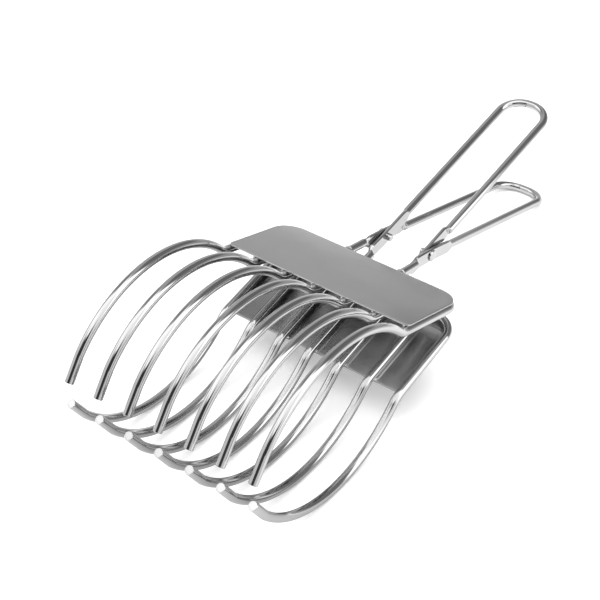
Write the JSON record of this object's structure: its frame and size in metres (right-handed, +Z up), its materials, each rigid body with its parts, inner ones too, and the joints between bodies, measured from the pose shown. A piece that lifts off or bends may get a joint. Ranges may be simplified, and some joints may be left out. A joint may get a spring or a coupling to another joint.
{
  "type": "wire claw tongs",
  "caption": "Scissor-action jar lifting tongs: crossed wire handles, flat sheet jaw plates and curved wire claws on two coaxial rivets",
  "frame": {"origin": "On the table under the middle of the whole tool's box, as it rests when put down.", "axes": "+X across the tongs, parallel to the pivot axis; +Y from the claws to the handles; +Z up. The upper jaw is on the +Z side."},
  "size_m": [0.1126, 0.333, 0.0893],
  "materials": {
    "wire": "polished round steel wire",
    "plate": "smooth bright sheet steel, satin",
    "rivet": "polished steel, turned and peened",
    "weld": "smooth weld metal, slightly dull"
  },
  "bodies": {
    "upper_jaw": {"upper_plate": "plate", "upper_rim_wire": "wire", "upper_tine_2": "wire", "upper_tine_3": "wire", "upper_tine_4": "wire", "upper_tine_5": "wire", "upper_tine_6": "wire", "lower_handle_loop": "wire", "upper_weld_beads": "weld"},
    "lower_jaw": {"lower_plate": "plate", "lower_rim_wire": "wire", "lower_tine_2": "wire", "lower_tine_3": "wire", "lower_tine_4": "wire", "lower_tine_5": "wire", "lower_tine_6": "wire", "upper_handle_loop": "wire", "lower_weld_beads": "weld", "left_rivet": "rivet", "right_rivet": "rivet"}
  },
  "joints": [
    {"name": "pivot", "type": "hinge", "parent": "lower_jaw", "child": "upper_jaw", "pos_m": [0, 0.03397, 0.03877], "axis": [-1, 0, 0], "range_deg": [-2.75, 60]}
  ]
}
